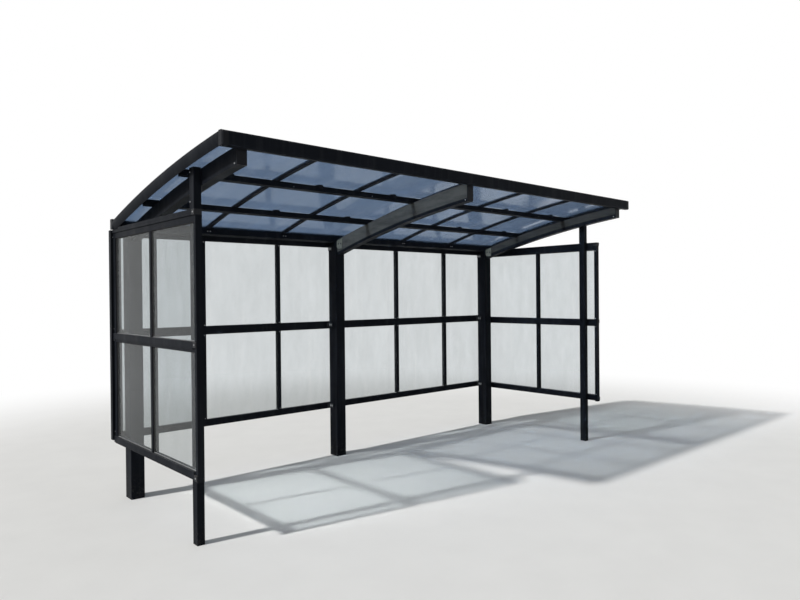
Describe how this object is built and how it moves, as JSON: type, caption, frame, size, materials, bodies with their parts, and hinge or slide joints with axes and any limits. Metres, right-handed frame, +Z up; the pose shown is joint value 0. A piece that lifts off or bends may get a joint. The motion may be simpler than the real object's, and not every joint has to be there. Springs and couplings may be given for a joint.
{
  "type": "bike shelter",
  "caption": "Open-fronted bike shelter with an arched sheet roof on rear columns and slim front posts, closed at the back and both ends by glazed frames.",
  "frame": {"origin": "on the ground, at the middle of the plan of the whole shelter", "axes": "+X along the roof towards its right end, +Y from the open front to the back, +Z up"},
  "size_m": [4.38, 1.884, 2.4566],
  "materials": {
    "frame": "satin black powder coat",
    "caps": "moulded black plastic",
    "roof_sheet": "smoke blue-grey translucent sheet",
    "pane": "clear, slightly smoky sheet",
    "brackets": "plain satin metal"
  },
  "bodies": {
    "root": {"column_left": "frame", "column_middle": "frame", "column_right": "frame", "column_heads": "frame", "support_post_left": "frame", "support_post_right": "frame", "post_caps": "caps", "roof_beam_left": "frame", "roof_beam_middle": "frame", "roof_beam_right": "frame", "beam_tip_caps": "caps", "purlin_front": "frame", "purlin_rear": "frame", "rear_frame_gutter": "frame", "gutter_end_caps": "caps", "front_frame": "frame", "front_corner_caps": "caps", "roof_side_frame_left": "frame", "roof_side_frame_right": "frame", "glazing_bars": "frame", "roof_sheets_left": "roof_sheet", "roof_sheets_right": "roof_sheet", "left_panel_rails": "frame", "left_panel_uprights": "frame", "left_panel_panes": "pane", "right_panel_rails": "frame", "right_panel_uprights": "frame", "right_panel_panes": "pane", "back_panel_rails": "frame", "back_panel_uprights": "frame", "back_panel_panes_upper": "pane", "back_panel_panes_lower": "pane", "rail_brackets": "brackets"}
  },
  "joints": []
}
